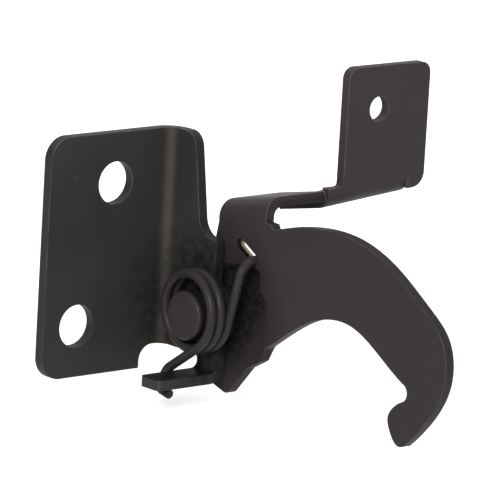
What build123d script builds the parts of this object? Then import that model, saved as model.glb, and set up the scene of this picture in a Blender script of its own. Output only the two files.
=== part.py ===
from build123d import *
import math
import os

# Safety catch for a bonnet lid: a folded bracket, a hook lever on a riveted pivot, and the
# torsion spring that holds the hook down.
# Millimetres. X runs along the pivot, Y towards the body panel, Z up. The origin is midway
# between the two mounting holes, on the face that bolts to the panel.

# Sheet and bends
SHEET = 2.2
PLATE_BEND = 2.5
ANCHOR_BEND = 1.5
STRAP_BEND = 2.2
TAB_BEND = 1.6

# Mounting plate
PLATE_RISE = 25.5
PLATE_LEFT = 13.1
PLATE_CORNER = 4.8
HOLE_DIAMETER = 9.0
HOLE_SPAN_X = 8.6
HOLE_SPAN_Z = 29.6
RELIEF_FILLET = 3.4
RELIEF_STEP = 1.5
RELIEF_LAND = 0.05

# Flange, pivot ear and spring anchor
FLANGE_FACE = 19.0
FLANGE_TOP_WIDTH = 9.6
FLANGE_LEAN = 3.3
FLANGE_CORNER = 3.5
NECK_FILLET = 4.4
FLANGE_DEPTH = 9.5
EAR_RADIUS = 5.7
EAR_TOP = 15.5
EAR_FALL = 0.2
EAR_CORNER = 1.0
EAR_FILLET = 2.0
ANCHOR_WIDTH = 6.2
ANCHOR_SIDE = -2.8
ANCHOR_STEP = 2.8
ANCHOR_REACH = 15.4
ANCHOR_CORNER = 1.2
ANCHOR_FILLET = 1.0

# Pivot
PIVOT_OUT = 16.8
PIVOT_DROP = 11.3
SHANK_DIAMETER = 7.0
BORE_CLEARANCE = 0.15
POST_DIAMETER = 10.4
POST_LENGTH = 7.0
POST_EDGE = 0.7
TAIL_DIAMETER = 10.0
TAIL_HEIGHT = 1.9
SPACER_DIAMETER = 11.0
WASHER_DIAMETER = 15.0
BACK_WASHER = 1.4
FACE_CLEARANCE = 0.1

# Hook lever
LEVER_GAP = 0.3
POCKET_DEPTH = 2.0
POCKET_TOP = 12.2
POCKET_SIDE = 12.9
POCKET_CORNER = 2.5
POCKET_LEAN = 7.4
POCKET_KNEE = 7.0
POCKET_STEP = 2.3
LEVER_BACK_RADIUS = 11.0
HEEL_FILLET = 1.6
SLOT_WIDTH = 2.3
SLOT_LENGTH = 7.6
SLOT_ANGLE = -29.4
SLOT_END = (10.6, 13.0)

# Outline of the lever in the side view, out from the pivot and up from it
NIB = [(13.4, 21.4), (15.3, 21.4)]
CROWN = [(15.8, 20.4), (27.8, 23.2), (41.7, 23.1), (52.4, 19.3), (61.9, 13.4), (68.3, 7.9),
         (69.8, 0.5), (66.6, -7.2), (58.7, -15.7)]
HOOK_TIP = [(56.9, -15.8), (54.7, -13.5), (53.8, -10.6), (55.0, -8.5), (57.8, -6.6)]
THROAT = (59.0, -4.7)
BELLY = [(57.5, -2.9), (48.8, 2.1), (40.9, 5.5), (33.3, 5.2), (24.5, 1.3), (16.0, -4.5)]
HEEL = [(13.9, -5.2), (12.2, -8.4), (8.0, -10.8), (2.1, -17.6), (-3.0, -16.1)]

# Release strap and tab
STRAP_LEAN = 12.0
STRAP_TOP = 23.3
STRAP_NEAR = 17.9
STRAP_FAR = 2.9
STRAP_TAPER = 3.0
STRAP_LAP = 0.8
NOTCH_FILLET = 0.3
TAB_FACE = 14.2
TAB_START = 22.8
TAB_WIDTH = 22.7
TAB_TOP = 52.3
TAB_CORNER = 2.4
TAB_FOOT_CORNER = 3.2
TAB_FREE = 4.5
TAB_SHOULDER = 3.8
TAB_STEP = 1.4
TAB_TILT = 4.8
TAB_DROP = 2.7
SHOULDER_RISE = 0.9
SHOULDER_FILLET = 0.8
TAB_HOLE = 5.3
TAB_HOLE_IN = 8.8
TAB_HOLE_DOWN = 9.1

# Torsion spring
WIRE = 2.0
COIL_RADIUS = 8.1
COIL_PITCH = 2.4
COIL_GAP = 0.35
COIL_STEP = 45.0
ARM_GAP = 0.1
ARM_ANGLE = -9.0
ANCHOR_LEG_ANGLE = -58.0
WIRE_BEND = 1.6
COIL_LIFT = 0.7
ARM_KNEE = 11.8
ARM_TAIL = 1.3
HOOK_LENGTH = 3.9
HOOK_SPREAD = 2.2
HOOK_DIP = 0.7
ANCHOR_GAP = 0.2

# Cutters: how far they reach sideways, and past the sheet they cut
CUT_REACH = 100.0
CUT_PAST = 1.0

# Sizes that follow from the ones above
OUTER_PLATE_BEND = PLATE_BEND + SHEET
ANCHOR_DROP = FLANGE_DEPTH + ANCHOR_STEP
EAR_SHOULDER = FLANGE_TOP_WIDTH + FLANGE_LEAN + 0.95 * NECK_FILLET + 1.15 * EAR_CORNER - PIVOT_OUT
PIVOT_Y = -PIVOT_OUT
PIVOT_Z = -PIVOT_DROP
LEVER_FACE = FLANGE_FACE + SHEET + LEVER_GAP
POCKET_FACE = LEVER_FACE + POCKET_DEPTH
LEVER_REAR = POCKET_FACE + SHEET
FLANGE_FOOT = PIVOT_Z - FLANGE_DEPTH
PLATE_FOOT = FLANGE_FOOT - RELIEF_FILLET - RELIEF_STEP
TAB_LEFT = FLANGE_FACE + TAB_START
TAB_RIGHT = TAB_LEFT + TAB_WIDTH
FOLD_LEFT = TAB_LEFT - TAB_SHOULDER
FOLD_RIGHT = TAB_RIGHT - TAB_FREE


def side_plane(x):
    """Plane across the pivot at x: its own x runs out from the panel, its own y up."""
    return Plane(origin=(x, PIVOT_Y, PIVOT_Z), x_dir=(0, -1, 0), z_dir=(-1, 0, 0))


def sheet_from(profile, x, thickness):
    """Extrude a profile drawn across the pivot from x away to x + thickness."""
    return extrude(side_plane(x + thickness) * profile, amount=thickness, dir=(-1, 0, 0))


def rounded_polygon(points, radii):
    """Polygon whose corners are rounded, a radius of 0 leaving the corner sharp."""
    face = make_face(Polyline(*points, close=True).edges())
    for point, radius in zip(points, radii):
        if radius > 0:
            corner = face.vertices().sort_by_distance(Vector(point[0], point[1], 0))[0]
            face = fillet(corner, radius)
    return face


def quarter_bend(plane, inner, sweep, width):
    """Bent strip of sheet: a ring sector from angle 0 to sweep, extruded by width."""
    outer = inner + SHEET
    ring = Circle(outer) - Circle(inner)
    reach = 3 * outer
    end = (reach * math.cos(math.radians(sweep)), reach * math.sin(math.radians(sweep)))
    middle = (reach * math.cos(math.radians(sweep / 2)), reach * math.sin(math.radians(sweep / 2)))
    wedge = make_face(Polyline((0, 0), (reach, 0), middle, end, close=True).edges())
    return extrude(plane * (ring & wedge), amount=width)


def mounting_plate():
    """Flat plate against the panel, with its two bolt holes and the relief at its foot."""
    bend_start = FLANGE_FACE - PLATE_BEND
    relief = bend_start - RELIEF_FILLET - RELIEF_LAND
    outline = rounded_polygon(
        [(-PLATE_LEFT, PLATE_RISE), (bend_start, PLATE_RISE), (bend_start, FLANGE_FOOT),
         (relief, FLANGE_FOOT), (relief, PLATE_FOOT), (-PLATE_LEFT, PLATE_FOOT)],
        [PLATE_CORNER, 0, 0, RELIEF_FILLET, 0, PLATE_CORNER])
    for side in (1, -1):
        place = Pos(side * HOLE_SPAN_X / 2, side * HOLE_SPAN_Z / 2)
        outline -= place * Circle(HOLE_DIAMETER / 2)
    face = Plane(origin=(0, 0, 0), x_dir=(1, 0, 0), z_dir=(0, -1, 0))
    return extrude(face * outline, amount=SHEET)


def plate_bend():
    """Upright bend that turns the plate into the flange."""
    centre = Plane(origin=(FLANGE_FACE - PLATE_BEND, -OUTER_PLATE_BEND, FLANGE_FOOT))
    return quarter_bend(centre, PLATE_BEND, 90, PLATE_RISE - FLANGE_FOOT)


def junction(outline, side, radius, up):
    """Corner where an upright edge at side meets a circle round the pivot."""
    height = math.sqrt(radius ** 2 - side ** 2)
    return outline.vertices().sort_by_distance(Vector(side, height if up else -height, 0))[0]


def flange():
    """Flat flange with the round pivot ear and the narrow strip down to the spring anchor."""
    start = OUTER_PLATE_BEND - PIVOT_OUT
    top = PLATE_RISE - PIVOT_Z
    top_edge = start + FLANGE_TOP_WIDTH - OUTER_PLATE_BEND
    neck = top_edge + FLANGE_LEAN
    upper = rounded_polygon(
        [(start, top), (top_edge, top), (neck, EAR_TOP - EAR_FALL), (EAR_SHOULDER, EAR_TOP),
         (EAR_SHOULDER, 0), (0, 0), (0, -FLANGE_DEPTH), (start, -FLANGE_DEPTH)],
        [0, FLANGE_CORNER, NECK_FILLET, EAR_CORNER, 0, 0, 0, 0])
    near_side = ANCHOR_SIDE + ANCHOR_WIDTH
    strip_foot = -ANCHOR_DROP + ANCHOR_BEND
    strip_centre = ANCHOR_SIDE + ANCHOR_WIDTH / 2
    strip = Pos(strip_centre, strip_foot / 2) * Rectangle(ANCHOR_WIDTH, -strip_foot)
    outline = upper + Circle(EAR_RADIUS) + strip
    outline = fillet(junction(outline, EAR_SHOULDER, EAR_RADIUS, True), EAR_FILLET)
    outline = fillet(junction(outline, near_side, EAR_RADIUS, False), ANCHOR_FILLET)
    far_corner = outline.vertices().sort_by_distance(Vector(ANCHOR_SIDE, -FLANGE_DEPTH, 0))[0]
    outline = fillet(far_corner, ANCHOR_FILLET)
    outline -= Circle(SHANK_DIAMETER / 2)
    return sheet_from(outline, FLANGE_FACE, SHEET)


def spring_anchor():
    """Finger folded forward from the foot of the strip, which the spring hooks under."""
    top = PIVOT_Z - ANCHOR_DROP
    far = PIVOT_Y - ANCHOR_SIDE
    near = far - ANCHOR_WIDTH
    bend_x = FLANGE_FACE - ANCHOR_BEND
    tip_x = FLANGE_FACE - ANCHOR_REACH
    fold = Plane(origin=(bend_x, far, top + ANCHOR_BEND), x_dir=(0, 0, -1), z_dir=(0, -1, 0))
    bend = quarter_bend(fold, ANCHOR_BEND, 90, ANCHOR_WIDTH)
    blade = rounded_polygon(
        [(tip_x, near), (bend_x, near), (bend_x, far), (tip_x, far)],
        [ANCHOR_CORNER, 0, 0, ANCHOR_CORNER])
    finger = extrude(Plane(origin=(0, 0, top - SHEET)) * blade, amount=SHEET)
    return bend + finger


def mounting_bracket():
    """The whole folded bracket, one sheet."""
    return mounting_plate() + plate_bend() + flange() + spring_anchor()


def fold_point(along, above):
    """Point of the side view given along and above the leaning fold of the strap."""
    lean = math.radians(STRAP_LEAN)
    return (along * math.cos(lean) - above * math.sin(lean),
            along * math.sin(lean) + above * math.cos(lean))


def back_point(angle):
    """Point on the round back of the lever at an angle of the side view."""
    turn = math.radians(angle)
    return (LEVER_BACK_RADIUS * math.cos(turn), LEVER_BACK_RADIUS * math.sin(turn))


def lever_outline():
    """Side view of the flat lever: pivot end, heel, hook and the neck of the strap."""
    fold = STRAP_TOP - STRAP_BEND - SHEET
    neck_far = fold_point(STRAP_FAR, fold)
    neck_near = fold_point(STRAP_NEAR, fold)
    back_start = back_point(245)
    back_end = back_point(105)
    edges = [
        Line(neck_far, neck_near),
        FilletPolyline(neck_near, *NIB, CROWN[0], radius=NOTCH_FILLET),
        Spline(*CROWN),
        Spline(CROWN[-1], *HOOK_TIP),
        ThreePointArc(HOOK_TIP[-1], THROAT, BELLY[0]),
        Spline(*BELLY),
        FilletPolyline(BELLY[-1], *HEEL, back_start, radius=HEEL_FILLET),
        ThreePointArc(back_start, back_point(180), back_end),
        Line(back_end, neck_far),
    ]
    return make_face(edges)


def lever_pocket(grow):
    """Cutter for the pressed pocket round the pivot, its walls sloping at 45 degrees."""
    lean = math.radians(POCKET_LEAN)
    top = POCKET_TOP + grow
    side = POCKET_SIDE + grow
    step = side + POCKET_STEP
    left = (-CUT_REACH, top - (CUT_REACH + side) * math.tan(lean))
    outline = rounded_polygon(
        [left, (side, top), (side, POCKET_KNEE), (step, POCKET_KNEE - POCKET_STEP),
         (step, -CUT_REACH), (-CUT_REACH, -CUT_REACH)],
        [0, POCKET_CORNER + grow, POCKET_CORNER, POCKET_CORNER + grow, 0, 0])
    return extrude(side_plane(0) * outline, amount=-POCKET_DEPTH, taper=45)


def lever_plate():
    """Flat arm and hook, with the pivot end pressed back in a pocket."""
    slab = sheet_from(lever_outline(), LEVER_FACE, SHEET + POCKET_DEPTH)
    front = Pos(LEVER_FACE, 0, 0) * lever_pocket(0)
    wall = SHEET * math.tan(math.radians(22.5))
    boss = Pos(LEVER_FACE + SHEET, 0, 0) * lever_pocket(wall)
    slice_behind = Box(POCKET_DEPTH, 2 * CUT_REACH, 2 * CUT_REACH)
    rear = Pos(LEVER_FACE + SHEET + POCKET_DEPTH / 2, PIVOT_Y, PIVOT_Z) * slice_behind
    plate = slab - front - (rear - boss)
    bore = SHANK_DIAMETER / 2 + BORE_CLEARANCE
    plate -= Pos(LEVER_FACE, PIVOT_Y, PIVOT_Z) * Rot(0, 90, 0) * Cylinder(bore, CUT_REACH)
    return plate - spring_slot()


def spring_slot():
    """Slanting slot that takes the bent end of the spring arm."""
    half = (SLOT_LENGTH - SLOT_WIDTH) / 2
    angle = math.radians(SLOT_ANGLE)
    centre = (SLOT_END[0] - half * math.cos(angle), SLOT_END[1] - half * math.sin(angle))
    slot = Pos(*centre) * Rot(0, 0, SLOT_ANGLE) * SlotOverall(SLOT_LENGTH, SLOT_WIDTH)
    return sheet_from(slot, LEVER_FACE - CUT_PAST, SHEET + POCKET_DEPTH + 2 * CUT_PAST)


def strap_bend():
    """Bend that turns the neck of the lever back into the strap."""
    outer = STRAP_BEND + SHEET
    lean = math.radians(STRAP_LEAN)
    near = fold_point(STRAP_NEAR, STRAP_TOP - outer)
    along = (0, -math.cos(lean), math.sin(lean))
    origin = (LEVER_FACE + outer, PIVOT_Y - near[0], PIVOT_Z + near[1])
    plane = Plane(origin=origin, x_dir=(-1, 0, 0), z_dir=tuple(-c for c in along))
    return quarter_bend(plane, STRAP_BEND, 90, STRAP_NEAR - STRAP_FAR)


def tab_bend_centre():
    """Side-view centre of the bend between strap and tab, and its place along the strap."""
    outer = TAB_BEND + SHEET
    lean = math.radians(STRAP_LEAN)
    out = TAB_FACE - outer
    up = (STRAP_TOP - SHEET + outer + out * math.sin(lean)) / math.cos(lean)
    along = out * math.cos(lean) + up * math.sin(lean)
    return out, up, along


def leaning_strip(points, radii):
    """Flat strip on the leaning plane of the strap, its outline given along X and up the lean."""
    lean = math.radians(STRAP_LEAN)
    low = fold_point(0, STRAP_TOP - SHEET)
    plane = Plane(origin=(0, PIVOT_Y - low[0], PIVOT_Z + low[1]), x_dir=(1, 0, 0),
                  z_dir=(0, math.sin(lean), math.cos(lean)))
    turned = mirror(rounded_polygon(points, radii), about=Plane.XZ)
    return extrude(plane * turned, amount=SHEET)


def release_strap():
    """Leaning strap from the bend of the neck to where the tab folds up."""
    start = LEVER_FACE + STRAP_BEND + SHEET
    end = FOLD_LEFT + STRAP_LAP
    return leaning_strip([(start, STRAP_FAR), (start, STRAP_NEAR), (end, STRAP_NEAR), (end, STRAP_FAR)],
                         [0, 0, 0, 0])


def settled(form):
    """Drop a form of the tab's foot by the pressed step and tilt it up to the right."""
    up = tab_bend_centre()[1]
    axis = Axis((FOLD_LEFT, PIVOT_Y, PIVOT_Z + up - TAB_STEP), (0, -1, 0))
    return (Pos(0, 0, -TAB_STEP) * form).rotate(axis, TAB_TILT)


def tab_foot():
    """Pressed-down foot behind the tab and the bend that turns it up."""
    out, up, along = tab_bend_centre()
    foot = leaning_strip([(FOLD_LEFT, STRAP_FAR), (FOLD_LEFT, along), (FOLD_RIGHT, along),
                          (FOLD_RIGHT, STRAP_FAR + STRAP_TAPER)], [0, 0, 0, PLATE_CORNER])
    sweep = 90 - STRAP_LEAN
    plane = Plane(origin=(FOLD_RIGHT, PIVOT_Y - out, PIVOT_Z + up), x_dir=(0, -1, 0), z_dir=(-1, 0, 0))
    bend = quarter_bend(plane, TAB_BEND, -sweep, FOLD_RIGHT - FOLD_LEFT)
    return settled(foot + bend)


def release_tab():
    """Upright tab with the hole for the release rod."""
    foot = tab_bend_centre()[1] - TAB_STEP
    shoulder = foot + SHOULDER_RISE
    slope = math.tan(math.radians(TAB_TILT))
    bend_end = foot + (FOLD_RIGHT - FOLD_LEFT) * slope
    low_right = foot + (TAB_RIGHT - FOLD_LEFT) * slope - TAB_DROP
    points = [(FOLD_LEFT, foot), (FOLD_LEFT, shoulder), (TAB_LEFT, shoulder), (TAB_LEFT, TAB_TOP),
              (TAB_RIGHT, TAB_TOP), (TAB_RIGHT, low_right), (FOLD_RIGHT, bend_end - TAB_DROP),
              (FOLD_RIGHT, bend_end)]
    radii = [0, 0, SHOULDER_FILLET, TAB_CORNER, TAB_CORNER, TAB_FOOT_CORNER, 0, 0]
    outline = rounded_polygon(points, radii)
    outline -= Pos(TAB_LEFT + TAB_HOLE_IN, TAB_TOP - TAB_HOLE_DOWN) * Circle(TAB_HOLE / 2)
    plane = Plane(origin=(0, PIVOT_Y - TAB_FACE, PIVOT_Z), x_dir=(1, 0, 0), z_dir=(0, -1, 0))
    return extrude(plane * outline, amount=-SHEET)


def hook_lever():
    """The whole folded lever, one sheet."""
    return lever_plate() + strap_bend() + release_strap() + tab_foot() + release_tab()


def pivot_rivet():
    """Shouldered rivet: the spring's post in front, the shank, and the tail set over behind."""
    seat = LEVER_REAR + 2 * FACE_CLEARANCE + BACK_WASHER
    shank = SHANK_DIAMETER / 2
    post = POST_DIAMETER / 2
    tail = TAIL_DIAMETER / 2
    front = FLANGE_FACE - POST_LENGTH
    dome = (tail ** 2 + TAIL_HEIGHT ** 2) / (2 * TAIL_HEIGHT)
    half = math.asin(tail / dome) / 2
    shoulder = (dome * math.sin(half), seat + TAIL_HEIGHT - dome * (1 - math.cos(half)))
    profile = make_face([
        Line((0, front), (post - POST_EDGE, front)),
        ThreePointArc((post - POST_EDGE, front), (post - 0.29 * POST_EDGE, front + 0.29 * POST_EDGE),
                      (post, front + POST_EDGE)),
        Line((post, front + POST_EDGE), (post, FLANGE_FACE)),
        Line((post, FLANGE_FACE), (shank, FLANGE_FACE)),
        Line((shank, FLANGE_FACE), (shank, seat)),
        Line((shank, seat), (tail, seat)),
        ThreePointArc((tail, seat), shoulder, (0, seat + TAIL_HEIGHT)),
        Line((0, seat + TAIL_HEIGHT), (0, front)),
    ])
    plane = Plane(origin=(0, PIVOT_Y, PIVOT_Z), x_dir=(0, 0, 1), z_dir=(0, 1, 0))
    return revolve(plane * profile, axis=Axis((0, PIVOT_Y, PIVOT_Z), (1, 0, 0)))


def ring_between(x_start, x_end, outer, bore):
    """Flat washer on the pivot."""
    ring = Circle(outer / 2) - Circle(bore / 2)
    return sheet_from(ring, x_start, x_end - x_start)


def pivot_bore():
    """Bore of whatever turns or slips on the rivet's shank."""
    return SHANK_DIAMETER + 2 * BORE_CLEARANCE


def spacer_washer():
    """Washer between the ear and the pocket of the lever."""
    return ring_between(FLANGE_FACE + SHEET, POCKET_FACE - FACE_CLEARANCE, SPACER_DIAMETER, pivot_bore())


def back_washer():
    """Washer between the lever and the tail of the rivet."""
    start = LEVER_REAR + 2 * FACE_CLEARANCE
    return ring_between(start, start + BACK_WASHER, WASHER_DIAMETER, pivot_bore())


def spring_point(out, up, x):
    """Point of the spring given out from the pivot, up from it and along it."""
    return Vector(x, PIVOT_Y - out, PIVOT_Z + up)


def rounded_run(points, radius):
    """Edges of a bent wire through the points, each inner corner rounded."""
    edges = []
    start = points[0]
    for before, corner, after in zip(points, points[1:], points[2:]):
        back = (before - corner).normalized()
        ahead = (after - corner).normalized()
        half = math.radians(back.get_angle(ahead)) / 2
        trim = radius / math.tan(half)
        centre = corner + (back + ahead).normalized() * (radius / math.sin(half))
        middle = centre + (corner - centre).normalized() * radius
        edges.append(Line(start, corner + back * trim))
        edges.append(ThreePointArc(corner + back * trim, middle, corner + ahead * trim))
        start = corner + ahead * trim
    edges.append(Line(start, points[-1]))
    return edges


def coil_point(turned):
    """Point on the coil's centre line, turned degrees on from where the arm leaves it."""
    angle = math.radians(ARM_ANGLE - turned)
    rear = FLANGE_FACE - COIL_GAP - WIRE / 2
    along = rear - COIL_PITCH * turned / 360
    return spring_point(COIL_RADIUS * math.cos(angle), COIL_RADIUS * math.sin(angle) + COIL_LIFT, along)


def coil_arcs():
    """Centre line of the coil as tangent arcs, from the arm at the ear to the anchor leg."""
    sweep_angle = 720 + ARM_ANGLE - ANCHOR_LEG_ANGLE
    steps = round(sweep_angle / COIL_STEP)
    points = [coil_point(sweep_angle * i / steps) for i in range(steps + 1)]
    leave = math.radians(ARM_ANGLE)
    heading = Vector(-COIL_PITCH / (2 * math.pi), -COIL_RADIUS * math.sin(leave),
                     -COIL_RADIUS * math.cos(leave))
    arcs = []
    for start, end in zip(points, points[1:]):
        arcs.append(TangentArc(start, end, tangent=heading))
        heading = arcs[-1] % 1
    return arcs


def spring_arm(coil_end):
    """Arm from the coil up to the slot of the lever, its end bent through the slot."""
    start = coil_end @ 0
    run = (coil_end % 0) * -ARM_KNEE
    front = LEVER_FACE - WIRE / 2 - ARM_GAP
    play = SLOT_WIDTH / 2 - WIRE / 2 - ARM_GAP
    lean = math.radians(SLOT_ANGLE)
    slot = spring_point(SLOT_END[0] + play * math.cos(lean), SLOT_END[1] + play * math.sin(lean), front)
    tail = Vector(LEVER_FACE + SHEET + ARM_TAIL, slot.Y, slot.Z)
    return rounded_run([start, start + run, slot, tail], WIRE_BEND)


def anchor_leg(coil_end):
    """Leg from the coil down behind the finger of the bracket and hooked under it."""
    start = coil_end @ 1
    side = PIVOT_Y - ANCHOR_SIDE + WIRE / 2 + ANCHOR_GAP
    slope = coil_end % 1
    corner = start + slope * ((side - start.Y) / slope.Y)
    under = PIVOT_Z - ANCHOR_DROP - SHEET - WIRE / 2 - 2 * ANCHOR_GAP
    foot = Vector(corner.X - HOOK_SPREAD, side, under)
    return rounded_run([start, corner, foot, foot - Vector(0, HOOK_LENGTH, HOOK_DIP)], WIRE_BEND)


def torsion_spring():
    """Round wire bent into a coil with an arm and a hooked leg."""
    coil = coil_arcs()
    bends = spring_arm(coil[0]) + coil + anchor_leg(coil[-1])
    path = Wire([bend.edge() for bend in bends])
    section = Plane(origin=path @ 0, z_dir=path % 0) * Circle(WIRE / 2)
    return sweep(section, path=path)


if __name__ == "__main__":
    os.makedirs("parts", exist_ok=True)
    parts = {
        "mounting_bracket": mounting_bracket,
        "hook_lever": hook_lever,
        "pivot_rivet": pivot_rivet,
        "torsion_spring": torsion_spring,
        "spacer_washer": spacer_washer,
        "back_washer": back_washer,
    }
    for name, build in parts.items():
        export_step(build(), "parts/" + name + ".step")
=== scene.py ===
import math

import bmesh
import bpy
from mathutils import Matrix, Vector


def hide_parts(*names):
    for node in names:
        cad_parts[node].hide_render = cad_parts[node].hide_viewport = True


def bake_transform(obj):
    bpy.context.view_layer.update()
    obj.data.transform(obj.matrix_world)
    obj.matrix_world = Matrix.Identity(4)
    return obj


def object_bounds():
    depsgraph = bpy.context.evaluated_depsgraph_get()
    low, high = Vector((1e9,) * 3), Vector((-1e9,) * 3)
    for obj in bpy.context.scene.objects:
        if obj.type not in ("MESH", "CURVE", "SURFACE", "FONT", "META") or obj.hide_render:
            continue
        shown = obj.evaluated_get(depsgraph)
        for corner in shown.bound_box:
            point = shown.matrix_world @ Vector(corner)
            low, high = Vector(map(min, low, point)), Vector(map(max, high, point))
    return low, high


# A bonnet safety catch in black paint, on a white floor. Metres, in the frame of the CAD part:
# X runs along the pivot, Y into the panel and Z up.

MM = 0.001

# Camera, from a fit to the photograph: where it stands and how it is turned
CAMERA_PLACE = Vector((-687.04, -828.18, 234.03)) * MM
CAMERA_AZIMUTH = math.radians(-41.45)
CAMERA_ELEVATION = math.radians(12.15)
CAMERA_ROLL = math.radians(3.35)
FOCAL_PIXELS = 5302.6
FRAME_PIXELS = 500
SENSOR = 36.0
CLIP_NEAR = 0.05
CLIP_FAR = 20.0

# Paint colours, linear: clean and dusty paint of the bracket and of the lever with painted shade of each,
# dust with painted top light, thin paint on edges that is also a painted highlight, the bend's painted
# highlight, the dark of painted shade round the pivot, and the bare steel where the wire rubs
BRACKET_BLACK = (0.0240, 0.0235, 0.0218, 1.0)
BRACKET_DUSTY = (0.0310, 0.0300, 0.0282, 1.0)
BRACKET_SHADE = (0.0110, 0.0098, 0.0092, 1.0)
LEVER_BLACK = (0.0300, 0.0250, 0.0240, 1.0)
LEVER_DUSTY = (0.0360, 0.0300, 0.0288, 1.0)
LEVER_DUST_AND_TOP_LIGHT = (0.072, 0.061, 0.058, 1.0)
LEVER_SHADE = (0.0120, 0.0105, 0.0100, 1.0)
WIRE_BLACK = (0.0235, 0.0212, 0.0200, 1.0)
WIRE_DUSTY = (0.0300, 0.0268, 0.0255, 1.0)
PALE_SPECK_WEAR_AND_HIGHLIGHT = (0.150, 0.128, 0.120, 1.0)
BEND_HIGHLIGHT = (0.150, 0.108, 0.100, 1.0)
SHADE_DARK = (0.0075, 0.0075, 0.0070, 1.0)
BARE_STEEL = (0.42, 0.34, 0.25, 1.0)

PAINT_SPECULAR = 0.12
SHADE_SPECULAR = 0.04
EDGE_ROUND = 0.32 * MM
SKIN_BUMP = 0.35
SKIN_HEIGHT = 0.04 * MM
PEEL_SHARE = 0.35
SPECK_SHARE = 0.5

# Noise over the paint: how fine each kind is, per metre
PEEL_GRAIN = 900.0
SWELL_GRAIN = 120.0
GLOSS_GRAIN = 70.0
SPECK_GRAIN = 1500.0
WEAR_AND_HIGHLIGHT_GRAIN = 260.0
BLOTCH_GRAIN = 850.0
PIVOT_SHADE_GRAIN = 600.0

# How strong each mask is where it is full
LEVER_PIVOT_SHADE_SHARE = 0.5
BRACKET_PIVOT_SHADE_SHARE = 0.8
FINGER_TOP_SHADE_SHARE = 0.85
DUST_AND_TOP_LIGHT_SHARE = 0.6
STRAP_SHADE_SHARE = 0.85
HOOK_SHADE_SHARE = 0.42
ARM_RIM_SHARE = 0.42
UNDERSIDE_SHADE_SHARE = 0.5
BEND_HIGHLIGHT_SHARE = 0.15
PLATE_RIM_SHARE = 0.6
FLANGE_RIM_SHARE = 0.45

# Masks over the paint. Each pair runs from where a mask is 0 to where it is 1. Places are
# lengths in the part's frame, facings are parts of a face's normal, the rest is noise.
CUT_EDGE_FACING = (0.6, 0.3)
BLOTCHES = (0.36, 0.62)
GLOSS_CHANGE = (0.3, 0.7)
SPECKS = (0.76, 0.84)

# Thin paint on convex edges, which also stands as a painted highlight along them
WEAR_AND_HIGHLIGHT_ROUND = 0.45 * MM
WEAR_AND_HIGHLIGHT_BEND = (0.02, 0.16)
WEAR_AND_HIGHLIGHT_PATCHES = (0.35, 0.68)
WEAR_AND_HIGHLIGHT_LEAST = 0.2

# Painted shade in the lever's pocket and round the pivot: the fade runs on a slant towards the hook
POCKET_FACING = (-0.3, -0.6)
POCKET_SLANT = 0.476
POCKET_FADE = (-61.5 * MM, -54.5 * MM)
POCKET_SUNK = (21.7 * MM, 22.5 * MM)
POCKET_BELOW = (-1.0 * MM, -8.0 * MM)
POCKET_FOOT = (-42.0 * MM, -15.0 * MM)
POCKET_TOP = (4.0 * MM, 2.0 * MM)
LEVER_PIVOT_SHADE = (23.0 * MM, 15.0 * MM)

# Painted shade on the bracket round the pivot and on top of the finger, and the ground away from the pivot
# where edges show thin paint and a painted highlight
BRACKET_PIVOT_SHADE = (21.0 * MM, 12.0 * MM)
FLANGE_SIDE = (6.0 * MM, 15.0 * MM)
FINGER_LEVEL = (-20.0 * MM, -21.0 * MM)
FINGER_FACING = (0.4, 0.7)
BRACKET_WORN_AND_LIT = (13.0 * MM, 19.0 * MM)

# Slot of the spring arm: its middle, its reach and how deep its two edges lie
SLOT_MIDDLE = (22.6 * MM, -24.9 * MM, 3.2 * MM)
SLOT_REACH = (4.9 * MM, 4.2 * MM)
SLOT_FAR_EDGE = (22.6 * MM, 23.4 * MM)
SLOT_NEAR_EDGE = (23.2 * MM, 22.7 * MM)
SLOT_RUBBED = (1.2 * MM, 1.8 * MM)

# Dust and painted top light on the lever's upper faces; painted shade on the strap's edge, the hook, the
# arm's cut rim and the undersides
DUST_AND_TOP_LIGHT_FACING = (0.45, 0.9)
DUST_AND_TOP_LIGHT_BEYOND_ARM = (22.5 * MM, 24.5 * MM)
DUST_AND_TOP_LIGHT_LEVEL = (10.0 * MM, 12.0 * MM)
STRAP_LOW = (9.0 * MM, 11.0 * MM)
STRAP_HIGH = (15.0 * MM, 13.8 * MM)
STRAP_START = (23.0 * MM, 26.0 * MM)
STRAP_END = (47.0 * MM, 45.0 * MM)
STRAP_FACING = (-0.4, -0.8)
HOOK_SHADE = (-32.0 * MM, -72.0 * MM)
ARM_ONLY = (25.0 * MM, 24.0 * MM)
ARM_RIM = (24.3 * MM, 23.9 * MM)
UNDERSIDE_SHADE_FACING = (-0.1, -0.5)

# Painted highlight on the bend of the bracket, and painted shade on its rims
BEND_FACING = (0.55, 1.0)
PLATE_SIDE = (16.0 * MM, 15.0 * MM)
PLATE_FRONT = (-2.4 * MM, -2.1 * MM)
PLATE_TOP_FACING = (0.7, 0.4)
FLANGE_RIM_FACING = (-0.6, -0.9)
FLANGE_RIM = (18.8 * MM, 19.1 * MM)

POST_SIDE = (12.5 * MM, 13.2 * MM)

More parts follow.
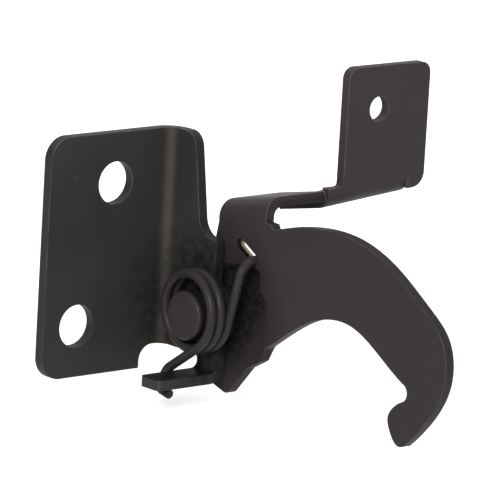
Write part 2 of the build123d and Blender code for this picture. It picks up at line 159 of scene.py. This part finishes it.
# Torsion spring, from the pivot: out towards the hook, up, and along the pivot
PIVOT = Vector((0.0, -16.8, -11.3)) * MM
WIRE_RADIUS = 1.0 * MM
WIRE_SIDES = 20
WIRE_END_ROUND = 0.12
COIL_RADIUS = 8.1 * MM
COIL_LIFT = 0.7 * MM
COIL_PITCH = 2.4 * MM
COIL_REAR = 17.65 * MM
COIL_STEPS = 110
BEND_STEPS = 7
ARM_ANGLE = -9.0
ANCHOR_LEG_ANGLE = -58.0
COIL_TURN = 720 + ARM_ANGLE - ANCHOR_LEG_ANGLE
ARM_KNEE = 11.8 * MM
ARM_SLOT = Vector((20.4, -27.44, 1.68)) * MM
ARM_TAIL = 4.6 * MM
HOOK_SIDE = -12.8 * MM
HOOK_SPREAD = 2.2 * MM
HOOK_FLOOR = -27.2 * MM
HOOK_LENGTH = 3.9 * MM
HOOK_DIP = 0.7 * MM
WIRE_BEND = 1.6 * MM

# Studio: how much the sky lights the part, how white the floor looks near and far from it
SKY_LIGHT = 0.40
FLOOR_LIFT = 0.60
FAR_LIFT = 0.30
FLOOR_FAR = (0.12, 0.5)
FLOOR_HALF = 3.0
FLOOR_DROP = 3 * MM
LAMP_AIM = (0.02, -0.03, 0.0)


def socket(tree, name, kind, default=None, output=False):
    """One named input or output on a shader group."""
    side = "OUTPUT" if output else "INPUT"
    made = tree.interface.new_socket(name=name, in_out=side, socket_type="NodeSocket" + kind)
    if default is not None:
        made.default_value = default
    return made


def new_group(name):
    """Empty shader group with its two end nodes."""
    tree = bpy.data.node_groups.new(name, "ShaderNodeTree")
    ends = tree.nodes.new("NodeGroupInput"), tree.nodes.new("NodeGroupOutput")
    return tree, ends[0], ends[1]


def math_node(tree, operation, first, second):
    """Math node fed by sockets or plain numbers; returns its output."""
    node = tree.nodes.new("ShaderNodeMath")
    node.operation = operation
    for place, value in enumerate((first, second)):
        if isinstance(value, (int, float)):
            node.inputs[place].default_value = value
        else:
            tree.links.new(value, node.inputs[place])
    return node.outputs[0]


def product(tree, first, *others):
    """Product of any number of sockets or plain numbers."""
    for other in others:
        first = math_node(tree, "MULTIPLY", first, other)
    return first


def largest(tree, first, *others):
    """Largest of any number of sockets or plain numbers."""
    for other in others:
        first = math_node(tree, "MAXIMUM", first, other)
    return first


def raised(tree, value, least):
    """A mask of 0 to 1 brought to least to 1."""
    return math_node(tree, "ADD", math_node(tree, "MULTIPLY", value, 1 - least), least)


def ramp(tree, value, low, high):
    """Map Range from low..high to 0..1, clamped."""
    node = tree.nodes.new("ShaderNodeMapRange")
    node.inputs["From Min"].default_value = low
    node.inputs["From Max"].default_value = high
    tree.links.new(value, node.inputs["Value"])
    return node.outputs["Result"]


def noise(tree, place, grain, detail):
    """Noise texture on a coordinate; returns its value."""
    node = tree.nodes.new("ShaderNodeTexNoise")
    node.inputs["Scale"].default_value = grain
    node.inputs["Detail"].default_value = detail
    tree.links.new(place, node.inputs["Vector"])
    return node.outputs["Fac"]


def object_place(tree):
    """Place on the piece in its own frame, which is the frame of the part."""
    return tree.nodes.new("ShaderNodeTexCoord").outputs["Object"]


def split_vector(tree, vector):
    """The X, Y and Z of a vector, as sockets with those names."""
    split = tree.nodes.new("ShaderNodeSeparateXYZ")
    tree.links.new(vector, split.inputs["Vector"])
    return split.outputs


def coordinate(tree):
    """X, Y and Z of a place on the piece, in metres."""
    return split_vector(tree, object_place(tree))


def face_normal(tree):
    """X, Y and Z of the flat normal."""
    return split_vector(tree, tree.nodes.new("ShaderNodeNewGeometry").outputs["True Normal"])


def from_pivot(tree):
    """Distance from the pivot's axis, in metres."""
    spot = coordinate(tree)
    away_out = math_node(tree, "SUBTRACT", spot["Y"], PIVOT.y)
    away_up = math_node(tree, "SUBTRACT", spot["Z"], PIVOT.z)
    square = math_node(tree, "ADD", product(tree, away_out, away_out), product(tree, away_up, away_up))
    return math_node(tree, "SQRT", square, 0.0)


def mottle(tree, least, grain=BLOTCH_GRAIN):
    """Blotches from a least value to 1."""
    return raised(tree, ramp(tree, noise(tree, object_place(tree), grain, 4.0), *BLOTCHES), least)


def cut_edge(tree, facing):
    """The sheet's thickness faces, by the part of the normal that its flat faces have."""
    return ramp(tree, math_node(tree, "ABSOLUTE", facing, 0.0), *CUT_EDGE_FACING)


def rounded_normal(tree, radius, samples):
    """Normal of the piece as if its edges were rounded."""
    bevel = tree.nodes.new("ShaderNodeBevel")
    bevel.samples = samples
    bevel.inputs["Radius"].default_value = radius
    return bevel.outputs["Normal"]


def edge_wear_and_highlight_group():
    """Thin paint on convex edges, which also stands as a painted highlight along them, broken up by noise.
    """
    tree, start, end = new_group("edge_wear_and_highlight")
    socket(tree, "Reach", "Float", 0.5)
    socket(tree, "Mask", "Float", output=True)
    turn = tree.nodes.new("ShaderNodeVectorMath")
    turn.operation = "DOT_PRODUCT"
    tree.links.new(rounded_normal(tree, WEAR_AND_HIGHLIGHT_ROUND, samples=6), turn.inputs[0])
    tree.links.new(tree.nodes.new("ShaderNodeNewGeometry").outputs["Normal"], turn.inputs[1])
    bend = math_node(tree, "SUBTRACT", 1.0, turn.outputs["Value"])
    patchy = ramp(tree, noise(tree, object_place(tree), WEAR_AND_HIGHLIGHT_GRAIN, 3.0), *WEAR_AND_HIGHLIGHT_PATCHES)
    mask = product(tree, ramp(tree, bend, *WEAR_AND_HIGHLIGHT_BEND), raised(tree, patchy, WEAR_AND_HIGHLIGHT_LEAST))
    tree.links.new(product(tree, mask, start.outputs["Reach"]), end.inputs["Mask"])
    return tree


def paint_skin_group():
    """Fine unevenness of a dipped black paint: height, gloss change and pale dust specks."""
    tree, start, end = new_group("paint_skin")
    socket(tree, "Scale", "Float", 1.0)
    socket(tree, "Height", "Float", output=True)
    socket(tree, "Gloss", "Float", output=True)
    socket(tree, "Specks", "Float", output=True)
    scaled = tree.nodes.new("ShaderNodeVectorMath")
    scaled.operation = "SCALE"
    tree.links.new(object_place(tree), scaled.inputs[0])
    tree.links.new(start.outputs["Scale"], scaled.inputs["Scale"])
    point = scaled.outputs["Vector"]
    peel = product(tree, noise(tree, point, PEEL_GRAIN, 2.0), PEEL_SHARE)
    swell = product(tree, noise(tree, point, SWELL_GRAIN, 2.0), 1 - PEEL_SHARE)
    tree.links.new(math_node(tree, "ADD", peel, swell), end.inputs["Height"])
    tree.links.new(ramp(tree, noise(tree, point, GLOSS_GRAIN, 4.0), *GLOSS_CHANGE), end.inputs["Gloss"])
    tree.links.new(ramp(tree, noise(tree, point, SPECK_GRAIN, 1.0), *SPECKS), end.inputs["Specks"])
    return tree


def pocket_painted_shade_group():
    """Painted shade in the pressed pocket of the lever, fading out towards the hook, and mottled round the
    pivot.
    """
    tree, _, end = new_group("pocket_painted_shade")
    socket(tree, "Mask", "Float", output=True)
    spot = coordinate(tree)
    facing = ramp(tree, face_normal(tree)["X"], *POCKET_FACING)
    slant = math_node(tree, "ADD", spot["Y"], math_node(tree, "MULTIPLY", spot["Z"], POCKET_SLANT))
    fade = ramp(tree, math_node(tree, "SUBTRACT", slant, spot["X"]), *POCKET_FADE)
    sunk = largest(tree, ramp(tree, spot["X"], *POCKET_SUNK), ramp(tree, spot["Z"], *POCKET_BELOW))
    low = product(tree, ramp(tree, spot["Z"], *POCKET_FOOT), ramp(tree, spot["Z"], *POCKET_TOP))
    # Painted shade in the recess of the pocket, and a mottled painted shade round the pivot
    pocket = product(tree, facing, fade, sunk, low, mottle(tree, 0.66))
    near_pivot_shade = product(tree, ramp(tree, from_pivot(tree), *LEVER_PIVOT_SHADE), mottle(tree, 0.7), LEVER_PIVOT_SHADE_SHARE)
    tree.links.new(largest(tree, pocket, near_pivot_shade), end.inputs["Mask"])
    return tree


def pivot_painted_shade_group():
    """Painted shade on the bracket, round the pivot and on top of the finger."""
    tree, _, end = new_group("pivot_painted_shade")
    socket(tree, "Mask", "Float", output=True)
    spot = coordinate(tree)
    # Painted shade round the pivot where the coil stands, and on the finger's top
    near = product(tree, ramp(tree, from_pivot(tree), *BRACKET_PIVOT_SHADE),
                   ramp(tree, spot["X"], *FLANGE_SIDE), mottle(tree, 0.35, PIVOT_SHADE_GRAIN),
                   BRACKET_PIVOT_SHADE_SHARE)
    ledge = product(tree, ramp(tree, spot["Z"], *FINGER_LEVEL),
                    ramp(tree, face_normal(tree)["Z"], *FINGER_FACING), FINGER_TOP_SHADE_SHARE)
    tree.links.new(largest(tree, near, ledge), end.inputs["Mask"])
    return tree


def wire_rub_group():
    """Slot of the spring arm: painted shade on its near edge, bare steel on its far edge where the wire
    rubs.
    """
    tree, _, end = new_group("wire_rub")
    socket(tree, "Mask", "Float", output=True)
    socket(tree, "WallShade", "Float", output=True)
    spot = coordinate(tree)
    wall = cut_edge(tree, face_normal(tree)["X"])
    deep = product(tree, wall, ramp(tree, spot["X"], *SLOT_FAR_EDGE), ramp(tree, spot["Z"], *SLOT_RUBBED))
    # Painted shade on the slot's near wall
    near_edge = product(tree, wall, ramp(tree, spot["X"], *SLOT_NEAR_EDGE))
    apart = tree.nodes.new("ShaderNodeVectorMath")
    apart.operation = "DISTANCE"
    tree.links.new(object_place(tree), apart.inputs[0])
    apart.inputs[1].default_value = SLOT_MIDDLE
    near = ramp(tree, apart.outputs["Value"], *SLOT_REACH)
    tree.links.new(product(tree, deep, near), end.inputs["Mask"])
    tree.links.new(product(tree, near_edge, near), end.inputs["WallShade"])
    return tree


def lever_tone_group():
    """Paint of the lever: dust and painted top light on its upper faces, painted shade on the strap's
    edge, the hook, the arm's cut rim and the undersides.
    """
    tree, start, end = new_group("lever_tone")
    socket(tree, "Colour", "Color", (0, 0, 0, 1))
    socket(tree, "Colour", "Color", output=True)
    spot = coordinate(tree)
    normal = face_normal(tree)
    # Dust and a painted top light: upward faces high on the lever, beyond the arm's plane, are lighter
    dust = product(tree, ramp(tree, normal["Z"], *DUST_AND_TOP_LIGHT_FACING), ramp(tree, spot["X"], *DUST_AND_TOP_LIGHT_BEYOND_ARM),
                   ramp(tree, spot["Z"], *DUST_AND_TOP_LIGHT_LEVEL), mottle(tree, 0.7), DUST_AND_TOP_LIGHT_SHARE)
    band = product(tree, ramp(tree, spot["Z"], *STRAP_LOW), ramp(tree, spot["Z"], *STRAP_HIGH))
    strap = product(tree, ramp(tree, spot["X"], *STRAP_START), ramp(tree, spot["X"], *STRAP_END))
    shade = product(tree, band, strap, ramp(tree, normal["Y"], *STRAP_FACING), STRAP_SHADE_SHARE)
    hook = product(tree, ramp(tree, spot["Y"], *HOOK_SHADE), ramp(tree, spot["X"], *ARM_ONLY),
                   HOOK_SHADE_SHARE)
    # Painted shade on the arm's cut rim and on faces that look down
    rim = product(tree, cut_edge(tree, normal["X"]), ramp(tree, spot["X"], *ARM_RIM), ARM_RIM_SHARE)
    under = product(tree, ramp(tree, normal["Z"], *UNDERSIDE_SHADE_FACING), UNDERSIDE_SHADE_SHARE)
    dusty = mix_colour(tree, dust, start.outputs["Colour"], LEVER_DUST_AND_TOP_LIGHT)
    shaded = mix_colour(tree, largest(tree, shade, hook, rim, under), dusty, LEVER_SHADE)
    tree.links.new(shaded, end.inputs["Colour"])
    return tree


def placed(tree, group, **values):
    """A group placed in a material with its own values."""
    node = tree.nodes.new("ShaderNodeGroup")
    node.node_tree = group
    for name, value in values.items():
        node.inputs[name].default_value = value
    return node


def mix_colour(tree, share, first, second):
    """Colour mix by a share; first and second are colours or sockets."""
    node = tree.nodes.new("ShaderNodeMix")
    node.data_type = "RGBA"
    tree.links.new(share, node.inputs["Factor"])
    for name, value in (("A", first), ("B", second)):
        place = [i for i in node.inputs if i.name == name and i.type == "RGBA"][0]
        if isinstance(value, tuple):
            place.default_value = value
        else:
            tree.links.new(value, place)
    return [o for o in node.outputs if o.type == "RGBA"][0]


def recolour(material, share, colour):
    """Mix a colour into what a material's paint shows so far."""
    tree = material.node_tree
    base = tree.nodes["Principled BSDF"].inputs["Base Color"]
    tree.links.new(mix_colour(tree, share, base.links[0].from_socket, colour), base)


def darken(material, mask):
    """Painted shade: turn a paint to a dull dark by a mask."""
    recolour(material, mask, SHADE_DARK)
    tree = material.node_tree
    dull = tree.nodes.new("ShaderNodeMapRange")
    tree.links.new(mask, dull.inputs["Value"])
    dull.inputs["To Min"].default_value = PAINT_SPECULAR
    dull.inputs["To Max"].default_value = SHADE_SPECULAR
    tree.links.new(dull.outputs["Result"], tree.nodes["Principled BSDF"].inputs["Specular IOR Level"])
    return material


def black_paint(name, groups, colours, wear_and_highlight, rough, wear_and_highlight_where=None):
    """Satin black paint on steel, from clean to dusty colour and from least to most rough.

    wear_and_highlight is how strongly the edges show thin paint and painted highlight, and
    wear_and_highlight_where gives a mask that limits it.
    """
    material = bpy.data.materials.new(name)
    material.use_nodes = True
    tree = material.node_tree
    shader = tree.nodes["Principled BSDF"]
    edge = placed(tree, groups["edge_wear_and_highlight"], Reach=wear_and_highlight)
    skin = placed(tree, groups["paint_skin"], Scale=1.0)
    body = mix_colour(tree, skin.outputs["Gloss"], *colours)
    specked = mix_colour(tree, product(tree, skin.outputs["Specks"], SPECK_SHARE), body, PALE_SPECK_WEAR_AND_HIGHLIGHT)
    edge_worn_and_lit = product(tree, edge.outputs["Mask"], wear_and_highlight_where(tree) if wear_and_highlight_where else 1.0)
    # Edges take the pale colour: thin paint and a painted highlight
    tree.links.new(mix_colour(tree, edge_worn_and_lit, specked, PALE_SPECK_WEAR_AND_HIGHLIGHT), shader.inputs["Base Color"])
    span = math_node(tree, "MULTIPLY", skin.outputs["Gloss"], rough[1] - rough[0])
    tree.links.new(math_node(tree, "ADD", span, rough[0]), shader.inputs["Roughness"])
    bump = tree.nodes.new("ShaderNodeBump")
    tree.links.new(rounded_normal(tree, EDGE_ROUND, samples=8), bump.inputs["Normal"])
    bump.inputs["Strength"].default_value = SKIN_BUMP
    bump.inputs["Distance"].default_value = SKIN_HEIGHT
    tree.links.new(skin.outputs["Height"], bump.inputs["Height"])
    tree.links.new(bump.outputs["Normal"], shader.inputs["Normal"])
    shader.inputs["Specular IOR Level"].default_value = PAINT_SPECULAR
    return material


def lever_paint(groups):
    """The lever's paint, with dust and painted top light, painted shade in the pocket, round the pivot and
    on the slot's near wall, and bare steel in the slot.
    """
    material = black_paint("lever_black_paint", groups, (LEVER_BLACK, LEVER_DUSTY),
                           wear_and_highlight=0.85, rough=(0.40, 0.56))
    tree = material.node_tree
    base = tree.nodes["Principled BSDF"].inputs["Base Color"]
    tone = placed(tree, groups["lever_tone"])
    tree.links.new(base.links[0].from_socket, tone.inputs["Colour"])
    tree.links.new(tone.outputs["Colour"], base)
    rub = placed(tree, groups["wire_rub"])
    # Painted shade in the pocket, round the pivot and on the slot's near wall
    pocket_and_pivot_shade = placed(tree, groups["pocket_painted_shade"]).outputs["Mask"]
    darken(material, largest(tree, pocket_and_pivot_shade, rub.outputs["WallShade"]))
    recolour(material, rub.outputs["Mask"], BARE_STEEL)
    return material


def bracket_paint(groups):
    """The bracket's paint, with a painted highlight along the bend, painted shade on its cut rims, and
    painted shade round the pivot and on top of the finger.
    """
    material = black_paint("bracket_black_paint", groups, (BRACKET_BLACK, BRACKET_DUSTY),
                           wear_and_highlight=1.0, rough=(0.38, 0.54),
                           wear_and_highlight_where=lambda tree: ramp(tree, from_pivot(tree), *BRACKET_WORN_AND_LIT))
    tree = material.node_tree
    spot = coordinate(tree)
    normal = face_normal(tree)
    bend = ramp(tree, product(tree, normal["X"], normal["Y"], 2.0), *BEND_FACING)
    # Painted highlight: the bend's faces that turn between plate and flange are lightened
    recolour(material, product(tree, bend, BEND_HIGHLIGHT_SHARE), BEND_HIGHLIGHT)
    # Painted shade on the plate's cut rims and on the flange's rim
    plate_rim = product(tree, cut_edge(tree, normal["Y"]), ramp(tree, spot["X"], *PLATE_SIDE),
                        ramp(tree, spot["Y"], *PLATE_FRONT), ramp(tree, normal["Z"], *PLATE_TOP_FACING),
                        PLATE_RIM_SHARE)
    flange_rim = product(tree, ramp(tree, normal["Y"], *FLANGE_RIM_FACING),
                         ramp(tree, spot["X"], *FLANGE_RIM), FLANGE_RIM_SHARE)
    recolour(material, largest(tree, plate_rim, flange_rim), BRACKET_SHADE)
    # Painted shade round the pivot and on top of the finger
    return darken(material, placed(tree, groups["pivot_painted_shade"]).outputs["Mask"])


def rivet_paint(groups):
    """The rivet's paint, with painted shade down the side of the post."""
    material = black_paint("rivet_black_paint", groups, (LEVER_BLACK, LEVER_DUSTY),
                           wear_and_highlight=0.7, rough=(0.34, 0.48))
    tree = material.node_tree
    # Painted shade down the side of the post, inside the coil
    side = ramp(tree, coordinate(tree)["X"], *POST_SIDE)
    return darken(material, product(tree, side, mottle(tree, 0.8)))


def washer_paint(name, groups):
    """Paint of a washer, all of it in a mottled painted shade."""
    material = black_paint(name, groups, (BRACKET_BLACK, BRACKET_DUSTY), wear_and_highlight=0.3, rough=(0.40, 0.54))
    # Painted shade over the whole washer, where it sits between the parts
    return darken(material, mottle(material.node_tree, 0.7))


def rounded_run(points, radius):
    """Points along a bent wire, each inner corner rounded."""
    run = [points[0]]
    for before, corner, after in zip(points, points[1:], points[2:]):
        back = (before - corner).normalized()
        ahead = (after - corner).normalized()
        half = back.angle(ahead) / 2
        trim = radius / math.tan(half)
        centre = corner + (back + ahead).normalized() * (radius / math.sin(half))
        first = corner + back * trim - centre
        last = corner + ahead * trim - centre
        for i in range(BEND_STEPS + 1):
            run.append(centre + first.slerp(last, i / BEND_STEPS).normalized() * radius)
    return run + [points[-1]]


def coil_point(turned):
    """Point on the coil, turned degrees on from where the arm leaves it."""
    angle = math.radians(ARM_ANGLE - turned)
    return PIVOT + Vector((COIL_REAR - COIL_PITCH * turned / 360, -COIL_RADIUS * math.cos(angle),
                           COIL_RADIUS * math.sin(angle) + COIL_LIFT))


def spring_line():
    """Centre line of the wire from the end of the arm to the end of the hooked leg."""
    coil = [coil_point(COIL_TURN * i / COIL_STEPS) for i in range(COIL_STEPS + 1)]
    leave = (coil[0] - coil[1]).normalized()
    enter = (coil[-1] - coil[-2]).normalized()
    arm = rounded_run([coil[0], coil[0] + leave * ARM_KNEE, ARM_SLOT,
                       ARM_SLOT + Vector((ARM_TAIL, 0, 0))], WIRE_BEND)
    corner = coil[-1] + enter * ((HOOK_SIDE - coil[-1].y) / enter.y)
    foot = Vector((corner.x - HOOK_SPREAD, HOOK_SIDE, HOOK_FLOOR))
    leg = rounded_run([coil[-1], corner, foot, foot - Vector((0, HOOK_LENGTH, HOOK_DIP))], WIRE_BEND)
    return arm[::-1] + coil[1:-1] + leg


def wire_stations(line, radius):
    """Place, heading, side and radius of each ring round the wire, its two ends drawn in."""
    across = (line[1] - line[0]).orthogonal().normalized()
    stations = []
    for i, point in enumerate(line):
        ahead = (line[min(i + 1, len(line) - 1)] - line[max(i - 1, 0)]).normalized()
        across = (across - ahead * across.dot(ahead)).normalized()
        stations.append((point, ahead, across.copy(), radius))
    inset = WIRE_END_ROUND * radius
    first, last = stations[0], stations[-1]
    stations[0] = (first[0] + first[1] * inset, first[1], first[2], radius)
    stations[-1] = (last[0] - last[1] * inset, last[1], last[2], radius)
    stations.insert(0, (first[0], first[1], first[2], radius - inset))
    stations.append((last[0], last[1], last[2], radius - inset))
    return stations


def wire_mesh(name, line, radius, sides):
    """Round wire along a line of points, its ends cut square with a small round."""
    form = bmesh.new()
    rings = []
    for point, ahead, side, reach in wire_stations(line, radius):
        other = ahead.cross(side)
        ring = []
        for k in range(sides):
            angle = 2 * math.pi * k / sides
            ring.append(form.verts.new(point + (side * math.cos(angle) + other * math.sin(angle)) * reach))
        rings.append(ring)
    for low, high in zip(rings, rings[1:]):
        for k in range(sides):
            form.faces.new((low[k], low[(k + 1) % sides], high[(k + 1) % sides], high[k]))
    form.faces.new(rings[0][::-1])
    form.faces.new(rings[-1])
    bmesh.ops.recalc_face_normals(form, faces=form.faces)
    mesh = bpy.data.meshes.new(name)
    form.to_mesh(mesh)
    form.free()
    mesh.polygons.foreach_set("use_smooth", [len(face.vertices) == 4 for face in mesh.polygons])
    wire = bpy.data.objects.new(name, mesh)
    bpy.context.scene.collection.objects.link(wire)
    return wire


def spring_wire(paint):
    """The spring as a fixed wire mesh in place of the hidden CAD spring; the real spring winds up when the
    lever lifts.
    """
    wire = wire_mesh("spring_wire", spring_line(), WIRE_RADIUS, WIRE_SIDES)
    wire.data.materials.append(paint)
    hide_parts("torsion_spring")
    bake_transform(wire)


def dress(nodes, groups):
    """The CAD pieces get their paint through their material slots."""
    paints = {
        "mounting_bracket": bracket_paint(groups),
        "hook_lever": lever_paint(groups),
        "pivot_rivet": rivet_paint(groups),
        "spacer_washer": washer_paint("washer_black_paint", groups),
        "back_washer": washer_paint("washer_back_black_paint", groups),
        "torsion_spring": black_paint("wire_black_paint", groups, (WIRE_BLACK, WIRE_DUSTY),
                                      wear_and_highlight=0.3, rough=(0.34, 0.46)),
    }
    for name, paint in paints.items():
        for slot in nodes[name].material_slots:
            slot.material = paint
    return paints


def seen_rays(tree):
    """1 for camera, glossy and transmission rays, 0 for the rays that light the object."""
    path = tree.nodes.new("ShaderNodeLightPath").outputs
    return largest(tree, path["Is Camera Ray"], path["Is Glossy Ray"], path["Is Transmission Ray"])


def white_world():
    """White to the camera, soft grey light on the object."""
    world = bpy.data.worlds.new("studio")
    bpy.context.scene.world = world
    world.use_nodes = True
    tree = world.node_tree
    tree.nodes.clear()
    shade = tree.nodes.new("ShaderNodeBackground")
    tree.links.new(raised(tree, seen_rays(tree), SKY_LIGHT), shade.inputs["Strength"])
    out = tree.nodes.new("ShaderNodeOutputWorld")
    tree.links.new(shade.outputs[0], out.inputs["Surface"])


def floor_white():
    """Matt pale floor that looks white, whiter far away, but keeps the shadow."""
    material = bpy.data.materials.new("floor_white")
    material.use_nodes = True
    tree = material.node_tree
    shader = tree.nodes["Principled BSDF"]
    shader.inputs["Base Color"].default_value = (0.8, 0.8, 0.8, 1.0)
    shader.inputs["Roughness"].default_value = 1.0
    shader.inputs["Specular IOR Level"].default_value = 0.0
    shader.inputs["Emission Color"].default_value = (1.0, 1.0, 1.0, 1.0)
    apart = tree.nodes.new("ShaderNodeVectorMath")
    apart.operation = "LENGTH"
    tree.links.new(object_place(tree), apart.inputs[0])
    far = product(tree, ramp(tree, apart.outputs["Value"], *FLOOR_FAR), FAR_LIFT)
    lift = product(tree, seen_rays(tree), math_node(tree, "ADD", far, FLOOR_LIFT))
    tree.links.new(lift, shader.inputs["Emission Strength"])
    return material


def floor_under(low):
    """Plain pale floor just under the part."""
    mesh = bpy.data.meshes.new("floor")
    floor = bpy.data.objects.new("floor", mesh)
    bpy.context.scene.collection.objects.link(floor)
    form = bmesh.new()
    bmesh.ops.create_grid(form, x_segments=1, y_segments=1, size=FLOOR_HALF)
    form.to_mesh(mesh)
    form.free()
    floor.location = (0, 0, low - FLOOR_DROP)
    mesh.materials.append(floor_white())


def lamp(name, place, size, power, mirrored=True):
    """Square soft lamp aimed at the part; mirrored lamps show in glossy paint."""
    data = bpy.data.lights.new(name, "AREA")
    data.energy = power
    data.size = size
    lamp_object = bpy.data.objects.new(name, data)
    lamp_object.location = place
    lamp_object.visible_glossy = mirrored
    lamp_object.rotation_euler = (Vector(LAMP_AIM) - Vector(place)).to_track_quat("-Z", "Y").to_euler()
    bpy.context.scene.collection.objects.link(lamp_object)


def photo_camera():
    """Camera at the photograph's place and angle."""
    back = Vector((math.sin(CAMERA_AZIMUTH) * math.cos(CAMERA_ELEVATION),
                   -math.cos(CAMERA_AZIMUTH) * math.cos(CAMERA_ELEVATION),
                   math.sin(CAMERA_ELEVATION)))
    right = Vector((0, 0, 1)).cross(back).normalized()
    up = back.cross(right)
    right, up = (math.cos(CAMERA_ROLL) * right + math.sin(CAMERA_ROLL) * up,
                 -math.sin(CAMERA_ROLL) * right + math.cos(CAMERA_ROLL) * up)
    data = bpy.data.cameras.new("photo")
    data.sensor_width = SENSOR
    data.lens = FOCAL_PIXELS / FRAME_PIXELS * SENSOR
    data.clip_start = CLIP_NEAR
    data.clip_end = CLIP_FAR
    camera = bpy.data.objects.new("photo", data)
    turn = Matrix((right, up, back)).transposed().to_4x4()
    camera.matrix_world = Matrix.Translation(CAMERA_PLACE) @ turn
    bpy.context.scene.collection.objects.link(camera)
    bpy.context.scene.camera = camera


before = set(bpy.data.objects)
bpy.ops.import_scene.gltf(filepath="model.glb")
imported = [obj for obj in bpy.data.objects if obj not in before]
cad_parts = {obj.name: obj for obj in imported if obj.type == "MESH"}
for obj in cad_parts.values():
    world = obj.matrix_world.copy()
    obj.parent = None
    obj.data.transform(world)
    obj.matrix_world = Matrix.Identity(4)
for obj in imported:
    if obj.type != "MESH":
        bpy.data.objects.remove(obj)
cad_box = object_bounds()
groups = {"edge_wear_and_highlight": edge_wear_and_highlight_group(), "paint_skin": paint_skin_group(),
          "pivot_painted_shade": pivot_painted_shade_group(), "pocket_painted_shade": pocket_painted_shade_group(),
          "wire_rub": wire_rub_group(), "lever_tone": lever_tone_group()}
paints = dress(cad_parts, groups)
spring_wire(paints["torsion_spring"])
white_world()
floor_under(cad_box[0][2])
lamp("key", (-0.95, -0.80, 0.62), size=0.45, power=18.0)
lamp("fill", (0.9, -0.6, 0.5), size=0.7, power=0.8)
lamp("top", (0.1, -0.1, 1.3), size=0.6, power=3.5, mirrored=False)
lamp("back", (0.55, 1.1, 0.55), size=0.9, power=5.0, mirrored=False)
photo_camera()
bpy.context.scene.view_settings.view_transform = "Standard"
